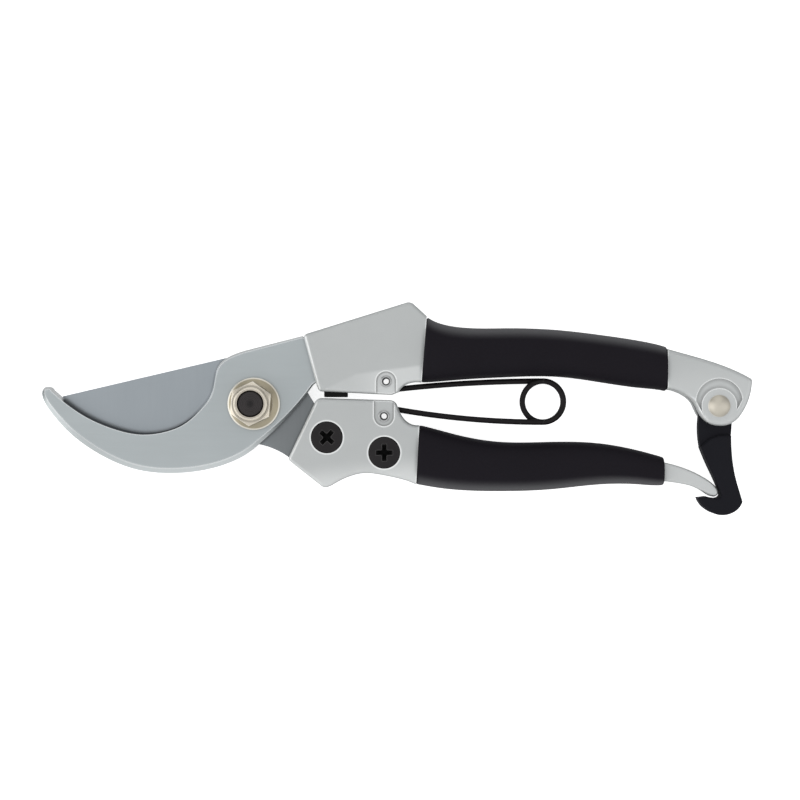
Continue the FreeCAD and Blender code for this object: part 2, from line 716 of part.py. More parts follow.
def catch():
    low, high = middle - catch_thickness / 2, middle + catch_thickness / 2
    body = soften(slab(catch_face(), low, high), catch_edge_radius, low, high)
    thin_low, thin_high = middle - tongue_thickness / 2, middle + tongue_thickness / 2
    tongue = slab(tongue_face(), thin_low, thin_high).fuse(
        disc(catch_centre, tongue_radius, thin_low, thin_high))
    lever = body.fuse(tongue)
    lever = lever.cut(disc(catch_centre, catch_bush_diameter / 2 + running_gap, 0, grip_thickness))
    return lever.removeSplitter()


def group(make, places):
    return Part.makeCompound([make(*place) for place in places])


def main():
    os.makedirs("parts", exist_ok=True)
    upper = upper_casting()
    lower = lower_casting()
    nodes = {
        "upper_handle": upper,
        "upper_grip": grip(upper_grip_sections, upper_grip_lean, upper),
        "hook_blade": drilled(hook_blank(), seat_gap, hook_screws, screw_shank_diameter),
        "hook_screws": group(hook_screw, hook_screws),
        "pivot_bolt": pivot_bolt(),
        "pivot_bush": pivot_bush(),
        "pivot_washer": pivot_washer(),
        "pivot_nut": pivot_nut(),
        "nut_insert": nut_insert(),
        "bumper": bumper(),
        "upper_spring_eyelet": eyelet(upper_eye, casting_top - emboss_depth),
        "catch_rivet": catch_rivet(),
        "catch_bush": catch_bush(),
        "catch": catch(),
        "lower_handle": lower,
        "lower_grip": grip(lower_grip_sections, lower_grip_lean, lower),
        "cutting_blade": drilled(cutting_blank(), running_gap, blade_screws, sleeve_diameter),
        "blade_screws": group(blade_screw, blade_screws),
        "blade_sleeve_nuts": group(sleeve_nut, blade_screws),
        "lower_spring_eyelet": eyelet(lower_eye, casting_top - emboss_depth),
        "spring_upper_arm": spring_arm(upper_eye, upper_wire_z, 1),
        "spring_lower_arm": spring_arm(lower_eye, lower_wire_z, -1),
    }
    for name, shape in nodes.items():
        shape.exportStep("parts/" + name + ".step")
        print(name, len(shape.Solids), round(shape.Volume, 2), shape.isValid())


main()
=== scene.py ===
import json
import math

import bmesh
import bpy
from mathutils import Matrix, Vector


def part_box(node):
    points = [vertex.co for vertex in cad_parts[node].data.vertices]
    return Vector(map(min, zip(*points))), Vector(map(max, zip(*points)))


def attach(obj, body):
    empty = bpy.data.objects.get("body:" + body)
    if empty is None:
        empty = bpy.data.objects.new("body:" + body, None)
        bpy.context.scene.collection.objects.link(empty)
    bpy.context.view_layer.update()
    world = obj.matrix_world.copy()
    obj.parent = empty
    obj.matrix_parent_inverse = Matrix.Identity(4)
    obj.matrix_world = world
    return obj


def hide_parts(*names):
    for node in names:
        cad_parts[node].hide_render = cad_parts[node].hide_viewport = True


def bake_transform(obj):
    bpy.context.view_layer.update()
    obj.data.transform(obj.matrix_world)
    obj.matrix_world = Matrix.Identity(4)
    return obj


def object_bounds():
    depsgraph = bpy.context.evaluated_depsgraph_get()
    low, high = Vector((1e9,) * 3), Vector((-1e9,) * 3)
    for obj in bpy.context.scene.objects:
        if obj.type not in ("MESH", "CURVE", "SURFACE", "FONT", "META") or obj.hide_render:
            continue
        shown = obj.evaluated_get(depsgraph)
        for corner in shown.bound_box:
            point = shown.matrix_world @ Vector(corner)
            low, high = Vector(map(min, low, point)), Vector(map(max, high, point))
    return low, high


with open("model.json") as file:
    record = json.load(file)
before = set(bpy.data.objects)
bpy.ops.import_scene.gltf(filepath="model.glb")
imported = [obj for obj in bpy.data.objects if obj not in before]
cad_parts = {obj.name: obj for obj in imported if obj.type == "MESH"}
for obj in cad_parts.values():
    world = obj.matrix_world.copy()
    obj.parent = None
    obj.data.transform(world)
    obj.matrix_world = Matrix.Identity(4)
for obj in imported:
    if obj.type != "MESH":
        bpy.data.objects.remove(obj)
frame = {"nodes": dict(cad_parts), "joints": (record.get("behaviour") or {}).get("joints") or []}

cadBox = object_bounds()
nodes = frame["nodes"]
joints = {joint["name"]: joint for joint in frame["joints"]}


def middleOf(node):
    low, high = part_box(node)
    return (low + high) / 2


# Camera

cameraSetup = {
    "height": 0.6,  # above the shears' middle layer
    "frameWidth": 0.2263,  # what the view spans at that layer
    "sensor": 36.0,
    "farthest": 20.0,
    "aimShift": (0.00103, 0.0025),  # the view's centre from the middle of the whole shears
}


def makeCamera(setup):
    low, high = cadBox
    wholeMiddle = (Vector(low) + Vector(high)) / 2
    data = bpy.data.cameras.new("viewCamera")
    data.sensor_width = setup["sensor"]
    data.lens = setup["sensor"] * setup["height"] / setup["frameWidth"]
    data.clip_end = setup["farthest"]
    camera = bpy.data.objects.new("viewCamera", data)
    bpy.context.scene.collection.objects.link(camera)
    level = middleOf("upper_grip").z
    camera.location = (wholeMiddle.x + setup["aimShift"][0], wholeMiddle.y + setup["aimShift"][1],
                       level + setup["height"])
    bpy.context.scene.camera = camera


makeCamera(cameraSetup)
print("camera set")


# Shader helpers

edgeSetup = {"samples": 6, "start": 0.002, "soft": 0.06}  # start and soft: how unlike two normals are
cornerSamples = 8
bandCore = 0.4  # the share of a band's half width that is at full strength


class Value:  # one shader socket, so that sums on it read as sums
    def __init__(self, finish, socket):
        self.finish = finish
        self.socket = socket

    def __add__(self, other):
        return self.finish.maths("ADD", self, other)

    def __sub__(self, other):
        return self.finish.maths("SUBTRACT", self, other)

    def __rsub__(self, other):
        return self.finish.maths("SUBTRACT", other, self)

    def __mul__(self, other):
        return self.finish.maths("MULTIPLY", self, other)

    def __neg__(self):
        return self.finish.maths("MULTIPLY", self, -1.0)

    __radd__ = __add__
    __rmul__ = __mul__


class Finish:  # one material, and the few nodes that all of them share
    def __init__(self, name, settings):
        self.material = bpy.data.materials.new(name)
        self.material.use_nodes = True
        self.tree = self.material.node_tree
        self.shader = self.tree.nodes["Principled BSDF"]
        for socket, value in settings.items():
            self.shader.inputs[socket].default_value = value
        self.place = self.node("ShaderNodeTexCoord", {}, {}, "Object")
        self.facing = self.node("ShaderNodeTexCoord", {}, {}, "Normal")

    def node(self, kind, settings, inputs, output=0):
        made = self.tree.nodes.new(kind)
        for key, value in settings.items():
            setattr(made, key, value)
        for key, value in inputs.items():
            if isinstance(value, Value):
                self.tree.links.new(value.socket, made.inputs[key])
            else:
                made.inputs[key].default_value = value
        return Value(self, made.outputs[output])

    def maths(self, operation, *values):
        return self.node("ShaderNodeMath", {"operation": operation}, dict(enumerate(values)))

    def blend(self, factor, first, second):
        return self.node("ShaderNodeMix", {"data_type": "RGBA"}, {0: factor, 6: first, 7: second}, 2)

    def fade(self, value, low, high):  # 0 at low and 1 at high, smoothly
        return self.node("ShaderNodeMapRange", {"interpolation_type": "SMOOTHSTEP"},
                         {"Value": value, "From Min": low, "From Max": high})

    def axis(self, vector, name):
        return self.node("ShaderNodeSeparateXYZ", {}, {0: vector}, name)

    def noise(self, scale, detail, stretch=(1, 1, 1), turn=0.0):
        spot = self.node("ShaderNodeMapping", {}, {"Vector": self.place, "Scale": stretch,
                                                   "Rotation": (0, 0, turn)})
        return self.node("ShaderNodeTexNoise", {}, {"Vector": spot, "Scale": scale, "Detail": detail})

    def length(self, x, y):
        spot = self.node("ShaderNodeCombineXYZ", {}, {0: x, 1: y})
        return self.node("ShaderNodeVectorMath", {"operation": "LENGTH"}, {0: spot}, "Value")

    def reach(self, centre):  # how far a point is from an upright axis
        return self.length(self.axis(self.place, "X") - centre[0], self.axis(self.place, "Y") - centre[1])

    def edges(self, radius, soft=edgeSetup["soft"]):  # 1 on an edge, 0 on a flat
        rounded = self.node("ShaderNodeBevel", {"samples": edgeSetup["samples"]}, {"Radius": radius})
        flat = self.node("ShaderNodeNewGeometry", {}, {}, "Normal")
        likeness = self.node("ShaderNodeVectorMath", {"operation": "DOT_PRODUCT"},
                             {0: rounded, 1: flat}, "Value")
        return self.fade(1.0 - likeness, edgeSetup["start"], soft)

    def crevice(self, distance):  # 1 deep in a corner, 0 in the open
        openness = self.node("ShaderNodeAmbientOcclusion", {"samples": cornerSamples},
                             {"Distance": distance}, "AO")
        return 1.0 - openness

    def mottle(self, coarse, fine, share):  # share is the fine one's
        return coarse * (1 - share) + fine * share

    def band(self, value, middle, half):  # 1 along a line where value passes middle
        return 1.0 - self.fade(self.maths("ABSOLUTE", value - middle), half * bandCore, half)

    def wear(self, colour, roughness, height, depth):
        links = self.tree.links
        links.new(colour.socket, self.shader.inputs["Base Color"])
        links.new(roughness.socket, self.shader.inputs["Roughness"])
        bump = self.node("ShaderNodeBump", {}, {"Height": height, "Distance": depth})
        links.new(bump.socket, self.shader.inputs["Normal"])
        return self.material


def rgb(red, green, blue):
    return (red, green, blue, 1.0)


# Castings. Places are in metres from the origin, or from an eyelet where it says so. A noise is given by
# its scale and detail, and ground lines also by their stretch and turn.

castingLook = {
    "light": rgb(0.525, 0.538, 0.535),
    "dark": rgb(0.455, 0.468, 0.466),
    # painted shade: the colour that corners, creases and the arch outlines are darkened to
    "grime": rgb(0.10, 0.10, 0.10),
    # the colour of worn edges, also a painted highlight on edges, the fillets, the screw seats and the arch
    # rims
    "worn": rgb(0.95, 0.96, 0.95),
    # painted light: the colour that the facet, the skirt, the tail and the fork are lightened to
    "facet": rgb(0.74, 0.75, 0.745),
    "metallic": 0.65,
    "roughness": 0.42,
    "bump": 0.000022,
    "cloud": (90, 3),
    "cloudRoughness": 0.08,
    "cloudBump": 0.6,
    "grain": (3200, 2),
    "grainShare": 0.4,
    "grainRoughness": 0.06,
    "wornReach": 0.0006,
    "wornStrength": 0.8,
    "wornRoughness": -0.12,
    "leftRim": 0.55,  # painted highlight on the fillets that face the blades
    "leftTilt": (0.15, 0.5),
    "leftLift": (0.1, 0.3),
    "cornerReach": 0.0012,
    "cornerStrength": 0.85,
    "facetLines": ((-0.0193, -0.0026, 0.477), (-0.0085, 0.0026, 0.134)),  # x, y from the eyelet, and slope
    "facetFoot": -0.0051,
    "facetSoft": 0.0012,
    "footSoft": 0.0006,
    "facetRise": (-0.012, 0.002),  # the facet's painted light grows over this stretch, from the eyelet
    "facetStrength": (0.2, 0.35),  # at the start of that stretch, and what it gains
    "facetBump": 2.0,
    "skirtSlope": -0.12,
    "skirtRise": (0.0185, 0.0260),  # the lower head's painted light grows towards its outer edge
    "skirtStrength": 0.7,
    "tailStart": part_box("lower_grip")[1].x - 0.001,  # where the tail that the catch holds begins; it gets painted light
    "endSoft": 0.001,  # the tail, the fork and the heads all begin or end over this
    "tailRise": (0.012, 0.014),  # towards -Y
    "tailStrength": 0.35,
    "forkFoot": (-0.012, -0.010),
    "forkRise": (-0.014, -0.004),
    "forkStrength": 0.25,
}
archLook = {  # painted highlight and painted shade along the edge of the shallow recess round each eyelet
    "radius": 0.0028,
    "line": 0.00022,
    "foot": 0.0042,  # the straight sides stop this far past the eyelet, at the casting's edge
    "soft": 0.0002,
    "shine": 0.3,
    "shade": 0.4,
}
seatLook = {"headRadius": 0.00445, "ring": 0.0004, "strength": 0.45}  # a painted highlight on the turned seat round a screw head


def lightFaces(finish, look):  # painted light on the facet, the lower head's skirt, the tail and the fork
    x = finish.axis(finish.place, "X")
    y = finish.axis(finish.place, "Y")
    eye = middleOf("upper_spring_eyelet")
    borders = [(x - eye.x - startX) * slope + startY for startX, startY, slope in look["facetLines"]]
    below = finish.fade(finish.maths("MINIMUM", *borders) - (y - eye.y), 0.0, look["facetSoft"])
    above = finish.fade(y - eye.y, look["facetFoot"], look["facetFoot"] + look["footSoft"])
    heads = finish.fade(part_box("upper_grip")[0].x - x, 0.0, look["endSoft"])
    start, gain = look["facetStrength"]
    facet = below * above * heads * (finish.fade(x - eye.x, *look["facetRise"]) * gain + start)
    fall = -y - x * look["skirtSlope"]
    skirt = finish.fade(fall, *look["skirtRise"]) * heads * look["skirtStrength"]
    ends = finish.fade(x, look["tailStart"], look["tailStart"] + look["endSoft"])
    tail = ends * finish.fade(-y, *look["tailRise"]) * look["tailStrength"]
    fork = ends * finish.fade(y, *look["forkFoot"]) * finish.fade(-y, *look["forkRise"])
    return facet, facet + skirt + tail + fork * look["forkStrength"]


def paintSeats(finish, colour, look, shine):  # a painted highlight ring round both blade screws
    low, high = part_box("blade_screws")
    inset = look["headRadius"]
    for centre in ((low.x + inset, high.y - inset), (high.x - inset, low.y + inset)):
        seat = finish.band(finish.reach(centre), inset + look["ring"] / 2, look["ring"])
        colour = finish.blend(seat * look["strength"], colour, shine)
    return colour


def paintArch(finish, colour, look, eyelet, side, shine, shade):  # side points away from the other handle
    eye = middleOf(eyelet)
    away = (finish.axis(finish.place, "Y") - eye.y) * side
    reach = finish.length(finish.axis(finish.place, "X") - eye.x, finish.maths("MAXIMUM", away, 0.0))
    near = finish.fade(away, -look["foot"] - look["soft"], -look["foot"])
    outline = near * finish.band(reach, look["radius"] - look["line"], look["line"])
    rim = near * finish.band(reach, look["radius"] + look["line"], look["line"])
    # painted highlight on the recess's rim, then painted shade on its outline
    colour = finish.blend(rim * look["shine"], colour, shine)
    return finish.blend(outline * look["shade"], colour, shade)


def makeCastAlloy(look):
    finish = Finish("castAlloy", {"Metallic": look["metallic"]})
    cloud = finish.noise(*look["cloud"])
    grain = finish.noise(*look["grain"])
    # edges get wear and a painted highlight; the fillets that face the blades get a painted highlight
    worn = finish.edges(look["wornReach"])
    left = finish.fade(-finish.axis(finish.facing, "X"), *look["leftTilt"])
    leftRim = left * finish.fade(finish.axis(finish.facing, "Z"), *look["leftLift"])
    bright = finish.maths("MAXIMUM", worn * look["wornStrength"], leftRim * look["leftRim"])
    facet, faces = lightFaces(finish, look)
    colour = finish.blend(finish.mottle(cloud, grain, look["grainShare"]), look["dark"], look["light"])
    # painted light on the facet, the skirt, the tail and the fork
    colour = finish.blend(faces, colour, look["facet"])
    colour = finish.blend(bright, colour, look["worn"])
    colour = paintSeats(finish, colour, seatLook, look["worn"])
    # painted shade in corners and creases, from an ambient occlusion mask
    colour = finish.blend(finish.crevice(look["cornerReach"]) * look["cornerStrength"], colour, look["grime"])
    colour = paintArch(finish, colour, archLook, "upper_spring_eyelet", 1, look["worn"], look["grime"])
    colour = paintArch(finish, colour, archLook, "lower_spring_eyelet", -1, look["worn"], look["grime"])
    roughness = look["roughness"] + cloud * look["cloudRoughness"] + grain * look["grainRoughness"]
    height = grain + cloud * look["cloudBump"] + facet * look["facetBump"]
    return finish.wear(colour, roughness + worn * look["wornRoughness"], height, look["bump"])


# Blades

hookLook = {
    "light": rgb(0.47, 0.505, 0.515),
    "dark": rgb(0.395, 0.425, 0.435),
    # painted highlight on the inner chamfer, also the colour of worn edges
    "edge": rgb(0.95, 0.96, 0.96),
    # painted shadow: the dark strip on the hook's inner chamfer where the cutting blade lies behind it
    "hollow": rgb(0.045, 0.05, 0.055),
    # painted highlight on the outer bevel
    "bevel": rgb(0.76, 0.79, 0.79),
    # painted shade for the hook's corners
    "grime": rgb(0.10, 0.10, 0.10),
    "metallic": 0.95,
    "roughness": 0.36,
    "bump": 0.00002,
    "lines": (1300, 2, (0.06, 1.0, 1.0), 0.2),
    "lineShare": 0.35,
    "lineRoughness": 0.10,
    "cloud": (60, 2),
    "tilt": (0.15, 0.35),  # how far a face turns to the side before it gets painted light: a bevel highlight on the outer side; a highlight and the shadow strip on the inner side
    "hollowStart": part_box("cutting_blade")[0].x,  # the beak beyond the cutting blade's tip has none
    "hollowSoft": 0.001,
    "hollowEnd": (-0.018, -0.012),  # the painted shadow strip runs out over this stretch
    "hollowStrength": 0.95,
    "bevelStrength": 0.6,
    "wornReach": 0.0006,
    "wornSoft": 0.02,
    "wornStrength": 0.55,
    "wornRoughness": -0.1,
    "cornerReach": 0.0008,
    "cornerStrength": 0.3,
}


def makeHookSteel(look):
    finish = Finish("hookSteel", {"Metallic": look["metallic"]})
    lines = finish.noise(*look["lines"])
    cloud = finish.noise(*look["cloud"])
    worn = finish.edges(look["wornReach"], look["wornSoft"])
    tilt = finish.axis(finish.facing, "Y")
    x = finish.axis(finish.place, "X")
    inner = finish.fade(tilt, *look["tilt"])
    outer = finish.fade(-tilt, *look["tilt"])
    # painted shadow along the inner chamfer, only where the cutting blade lies behind it
    hollow = inner * finish.fade(x, look["hollowStart"], look["hollowStart"] + look["hollowSoft"])
    hollow = hollow * (1.0 - finish.fade(x, *look["hollowEnd"]))
    colour = finish.blend(finish.mottle(cloud, lines, look["lineShare"]), look["dark"], look["light"])
    # painted highlight on the outer bevel and the inner chamfer, and worn edges with a painted highlight
    colour = finish.blend(outer * look["bevelStrength"], colour, look["bevel"])
    colour = finish.blend(inner, colour, look["edge"])
    colour = finish.blend(worn * look["wornStrength"], colour, look["edge"])
    colour = finish.blend(hollow * look["hollowStrength"], colour, look["hollow"])
    # painted shade in the hook's corners
    colour = finish.blend(finish.crevice(look["cornerReach"]) * look["cornerStrength"], colour, look["grime"])
    roughness = look["roughness"] + lines * look["lineRoughness"] + worn * look["wornRoughness"]
    return finish.wear(colour, roughness, lines, look["bump"])


bladeLook = {
    "light": rgb(0.375, 0.405, 0.43),
    "dark": rgb(0.315, 0.345, 0.37),
    # painted shade: the colour that the shank is darkened to
    "shank": rgb(0.20, 0.21, 0.215),
    "edge": rgb(0.16, 0.17, 0.18),
    # painted shade for the blade's corners
    "grime": rgb(0.06, 0.06, 0.06),
    "metallic": 0.97,
    "roughness": 0.30,
    "bump": 0.00002,
    "lines": (1500, 2, (1.0, 0.05, 1.0), 0.35),
    "lineShare": 0.3,
    "lineRoughness": 0.10,
    "cloud": (45, 2),
    "shankRise": (-0.004, 0.010),  # the blade turns into its shank over this stretch: painted shade darkens it and it grows rougher
    "shankRagged": 0.004,
    "shankStrength": 0.85,
    "shankRoughness": 0.12,
    "wornReach": 0.0002,
    "wornStrength": 0.4,
    "cornerReach": 0.0012,
    "cornerRise": (0.1, 0.4),
    "cornerStrength": 0.4,
}


def makeBladeSteel(look):
    finish = Finish("bladeSteel", {"Metallic": look["metallic"]})
    lines = finish.noise(*look["lines"])
    cloud = finish.noise(*look["cloud"])
    worn = finish.edges(look["wornReach"])
    x = finish.axis(finish.place, "X")
    shank = finish.fade(x + cloud * look["shankRagged"], *look["shankRise"])
    corner = finish.fade(finish.crevice(look["cornerReach"]), *look["cornerRise"])
    colour = finish.blend(finish.mottle(cloud, lines, look["lineShare"]), look["dark"], look["light"])
    # painted shade on the shank
    colour = finish.blend(shank * look["shankStrength"], colour, look["shank"])
    # the blade's edges are darkened
    colour = finish.blend(worn * look["wornStrength"], colour, look["edge"])
    # painted shade in the blade's corners
    colour = finish.blend(corner * look["cornerStrength"], colour, look["grime"])
    roughness = look["roughness"] + lines * look["lineRoughness"] + shank * look["shankRoughness"]
    return finish.wear(colour, roughness, lines, look["bump"])


# Plated fasteners

# the corner reach, strength and colour here are painted shade in corners
platingWear = {"reach": 0.00028, "soft": 0.04, "strength": 0.8, "bump": 0.00002, "cloud": (260, 3),
               "cloudRoughness": 0.1, "grain": (1800, 2), "grainRoughness": 0.06, "cornerReach": 0.0011,
               "cornerStrength": 0.85, "grime": rgb(0.05, 0.04, 0.03)}
# rim: the colour of worn edges with a painted highlight
platingLooks = {
    "yellowZinc": {"light": rgb(0.74, 0.68, 0.58), "dark": rgb(0.58, 0.52, 0.42),
                   "rim": rgb(0.95, 0.92, 0.86), "roughness": 0.24},
    # painted shade: a darker copy of the yellow zinc for the washer
    "washerZinc": {"light": rgb(0.42, 0.38, 0.29), "dark": rgb(0.32, 0.28, 0.20),
                   "rim": rgb(0.82, 0.79, 0.72), "roughness": 0.30},
    "nickel": {"light": rgb(0.64, 0.60, 0.53), "dark": rgb(0.56, 0.52, 0.44),
               "rim": rgb(0.80, 0.78, 0.72), "roughness": 0.42},
    "eyeletNickel": {"light": rgb(0.43, 0.44, 0.44), "dark": rgb(0.33, 0.34, 0.34),
                     "rim": rgb(0.72, 0.72, 0.72), "roughness": 0.28},
    "brightSteel": {"light": rgb(0.74, 0.74, 0.73), "dark": rgb(0.62, 0.62, 0.62),
                    "rim": rgb(0.9, 0.9, 0.9), "roughness": 0.24},
}
# a painted highlight along the washer's outer rim
washerRing = {"inset": 0.00022, "half": 0.00024, "strength": 0.7, "colour": rgb(0.82, 0.79, 0.72)}
# painted shade: a dark ring on the eyelet's rolled lip round its hole
eyeletLip = {"radius": 0.00092, "half": 0.00032, "strength": 0.85, "colour": rgb(0.02, 0.02, 0.02)}


def makePlating(name, ring=None, centre=None):
    look = platingLooks[name]
    wear = platingWear
    finish = Finish(name, {"Metallic": 1.0})
    cloud = finish.noise(*wear["cloud"])
    grain = finish.noise(*wear["grain"])
    worn = finish.edges(wear["reach"], wear["soft"])
    colour = finish.blend(cloud, look["dark"], look["light"])
    # worn edges with a painted highlight
    colour = finish.blend(worn * wear["strength"], colour, look["rim"])
    if ring:
        # a painted ring: a highlight on the washer's rim, shade round each eyelet's hole
        circle = finish.band(finish.reach(centre), ring["radius"], ring["half"])
        colour = finish.blend(circle * ring["strength"], colour, ring["colour"])
    # painted shade in corners
    colour = finish.blend(finish.crevice(wear["cornerReach"]) * wear["cornerStrength"], colour, wear["grime"])
    roughness = look["roughness"] + cloud * wear["cloudRoughness"] + grain * wear["grainRoughness"]
    return finish.wear(colour, roughness, grain, wear["bump"])


def makeWasherZinc():
    low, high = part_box("pivot_washer")
    ring = dict(washerRing, radius=(high.y - low.y) / 2 - washerRing["inset"])
    return makePlating("washerZinc", ring, middleOf("pivot_washer"))


# Black steel: screws, bolt and spring

# the two darkest colours here are painted shade, for recesses, the bolt's dimple and corners
blackWear = {"rim": rgb(0.10, 0.095, 0.095), "hole": rgb(0.0015, 0.0015, 0.0015),
             "grime": rgb(0.002, 0.002, 0.002), "reach": 0.00028, "bump": 0.00004, "cloud": (220, 2),
             "grain": (1500, 3), "grainRoughness": 0.14, "cornerReach": 0.0014, "cornerStrength": 0.9,
             "roughness": 0.38, "ringFineness": 14000.0, "ringStrength": 0.25, "ringedGrain": 0.5,
             "centreMark": (0.0002, 0.0016), "centreStrength": 0.7, "mouthDepth": (0.0002, 0.0007),
             "mouthRoughness": 0.5}
# each look's last value: how strongly its edges get wear and a painted sheen
blackLooks = {
    "blackSteel": {"dark": rgb(0.008, 0.007, 0.0075), "light": rgb(0.016, 0.014, 0.015),
                   "metallic": 0.35, "shine": 0.35, "worn": 0.35},
    "springSteel": {"dark": rgb(0.008, 0.007, 0.0075), "light": rgb(0.016, 0.014, 0.015),
                    "metallic": 0.0, "shine": 0.10, "worn": 0.35},
    "boltSteel": {"dark": rgb(0.014, 0.011, 0.011), "light": rgb(0.024, 0.019, 0.019),
                  "metallic": 0.35, "shine": 0.35, "worn": 0.35},
    "screwSteel": {"dark": rgb(0.0075, 0.0064, 0.0070), "light": rgb(0.016, 0.0135, 0.0145),
                   "metallic": 0.35, "shine": 0.35, "worn": 0.8},
}


def makeBlackSteel(name, turnedCentre=None, mouth=None):
    look = blackLooks[name]
    wear = blackWear
    finish = Finish(name, {"Metallic": look["metallic"], "Specular IOR Level": look["shine"]})
    grain = finish.noise(*wear["grain"])
    cloud = finish.noise(*wear["cloud"])
    height = grain
    roughness = wear["roughness"] + grain * wear["grainRoughness"]
    colour = finish.blend(cloud, look["dark"], look["light"])
    if turnedCentre:  # fine rings left by the lathe, and painted shade on the dimple in their middle
        reach = finish.reach(turnedCentre)
        rings = finish.maths("SINE", reach * wear["ringFineness"]) * 0.5 + 0.5
        dimple = 1.0 - finish.fade(reach, *wear["centreMark"])
        colour = finish.blend(rings * wear["ringStrength"], colour, wear["rim"])
        colour = finish.blend(dimple * wear["centreStrength"], colour, wear["grime"])
        height = grain * wear["ringedGrain"] + rings
    # worn edges with a painted sheen in the rim colour
    colour = finish.blend(finish.edges(wear["reach"]) * look["worn"], colour, wear["rim"])
    # painted shade in corners
    colour = finish.blend(finish.crevice(wear["cornerReach"]) * wear["cornerStrength"], colour, wear["grime"])
    if mouth:  # painted shade in the recess: the level of the head's face, and 1 or -1 for the way that it is cut in
        level, inwards = mouth
        sunk = finish.fade((finish.axis(finish.place, "Z") - level) * inwards, *wear["mouthDepth"])
        colour = finish.blend(sunk, colour, wear["hole"])
        roughness = roughness + sunk * wear["mouthRoughness"]
    return finish.wear(colour, roughness, height, wear["bump"])


# Rubber and plastic

rubberWear = {"refraction": 1.25, "bump": 0.00006, "cloud": (70, 2), "cloudRoughness": -0.06,
              "cloudBump": 0.3, "grainDetail": 3, "grainShare": 0.4, "grainRoughness": 0.12}
rubberLooks = {
    "gripRubber": {"dark": rgb(0.0098, 0.0085, 0.0112), "light": rgb(0.0130, 0.0114, 0.0150),
                   "roughness": 0.46, "grain": 1400, "shine": 0.15},
    "stopRubber": {"dark": rgb(0.006, 0.006, 0.006), "light": rgb(0.010, 0.010, 0.010),
                   "roughness": 0.6, "grain": 900, "shine": 0.25},
    "catchPlastic": {"dark": rgb(0.0105, 0.0105, 0.0135), "light": rgb(0.0145, 0.0145, 0.018),
                     "roughness": 0.5, "grain": 1800, "shine": 0.10},
    "nylon": {"dark": rgb(0.50, 0.45, 0.38), "light": rgb(0.60, 0.55, 0.47),
              "roughness": 0.5, "grain": 1500, "shine": 0.25},
}
# a painted sheen on the grips' outer sides
gripDust = {"colour": rgb(0.075, 0.074, 0.078), "tilt": (0.35, 0.95)}


def makeRubber(name, dust=None):
    look = rubberLooks[name]
    wear = rubberWear
    finish = Finish(name, {"Specular IOR Level": look["shine"], "IOR": wear["refraction"]})
    grain = finish.noise(look["grain"], wear["grainDetail"])
    cloud = finish.noise(*wear["cloud"])
    colour = finish.blend(finish.mottle(cloud, grain, wear["grainShare"]), look["dark"], look["light"])
    if dust:  # a painted sheen on the sides that face away from the other handle
        side = finish.maths("SIGN", finish.axis(finish.place, "Y"))
        outward = finish.fade(finish.axis(finish.facing, "Y") * side, *dust["tilt"])
        colour = finish.blend(outward, colour, dust["colour"])
    roughness = look["roughness"] + grain * wear["grainRoughness"] + cloud * wear["cloudRoughness"]
    return finish.wear(colour, roughness, grain + cloud * wear["cloudBump"], wear["bump"])


finishes = {  # by the record's slot
    "cast_alloy": makeCastAlloy(castingLook),
    "satin_steel": makeHookSteel(hookLook),
    "blade_steel": makeBladeSteel(bladeLook),
    "yellow_zinc": makePlating("yellowZinc"),
    "nickel": makePlating("nickel"),
    "bright_steel": makePlating("brightSteel"),
    "black_steel": makeBlackSteel("blackSteel"),
    "spring_steel": makeBlackSteel("springSteel"),
    "grip_rubber": makeRubber("gripRubber", gripDust),
    "stop_rubber": makeRubber("stopRubber"),
    "catch_plastic": makeRubber("catchPlastic"),
    "nylon": makeRubber("nylon"),
}
ownFinishes = {  # nodes whose surface differs from the rest of their slot
    "pivot_washer": makeWasherZinc(),
    "pivot_bolt": makeBlackSteel("boltSteel", turnedCentre=(0.0, 0.0)),
    "blade_screws": makeBlackSteel("screwSteel", mouth=(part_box("blade_screws")[1].z, -1)),
    "hook_screws": makeBlackSteel("screwSteel", mouth=(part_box("hook_screws")[0].z, 1)),
    "upper_spring_eyelet": makePlating("eyeletNickel", eyeletLip, middleOf("upper_spring_eyelet")),
    "lower_spring_eyelet": makePlating("eyeletNickel", eyeletLip, middleOf("lower_spring_eyelet")),
}
for name, node in nodes.items():
    slot = node.data.materials[0].name
    node.data.materials[0] = ownFinishes.get(name) or finishes[slot]
print("finishes made:", len(finishes) + len(ownFinishes))


# Spring: two legs that turn with their arms, and the coil that winds up between them

springWire = {
    "loopRadius": 0.0025,
    "coilRadius": 0.0058,
    "loopLead": 0.0003,  # each leg leaves its loop this far past the eyelet
    "ringSides": 20,
    "loopSteps": 30,
    "legSteps": 48,
    "coilSteps": 30,  # for each half turn
    "mergeDistance": 0.000001,
}


def startWire(mesh, spot, along, radius):  # a round end cap that faces back along the wire
    turn = along.to_track_quat("Z", "Y").to_matrix().to_4x4()
    made = bmesh.ops.create_circle(mesh, cap_ends=True, segments=springWire["ringSides"], radius=radius,
                                   matrix=Matrix.Translation(spot) @ turn)
    return list({face for vert in made["verts"] for face in vert.link_faces})


def bendWire(mesh, faces, centre, degrees, steps, rise=0.0):  # carries the wire's end round a centre
    swept = bmesh.ops.spin(mesh, geom=faces, cent=centre, axis=(0, 0, 1), angle=math.radians(degrees),
                           steps=steps, dvec=(0, 0, rise / steps), use_merge=False, use_duplicate=False)
    return [piece for piece in swept["geom_last"] if isinstance(piece, bmesh.types.BMFace)]


def finishWire(mesh, name, slot):
    bmesh.ops.remove_doubles(mesh, verts=mesh.verts, dist=springWire["mergeDistance"])
    bmesh.ops.recalc_face_normals(mesh, faces=mesh.faces)
    for face in mesh.faces:
        face.smooth = len(face.verts) == 4
    data = bpy.data.meshes.new(name)
    mesh.to_mesh(data)
    mesh.free()
    data.materials.append(finishes[slot])
    piece = bpy.data.objects.new(name, data)
    bpy.context.scene.collection.objects.link(piece)
    return piece


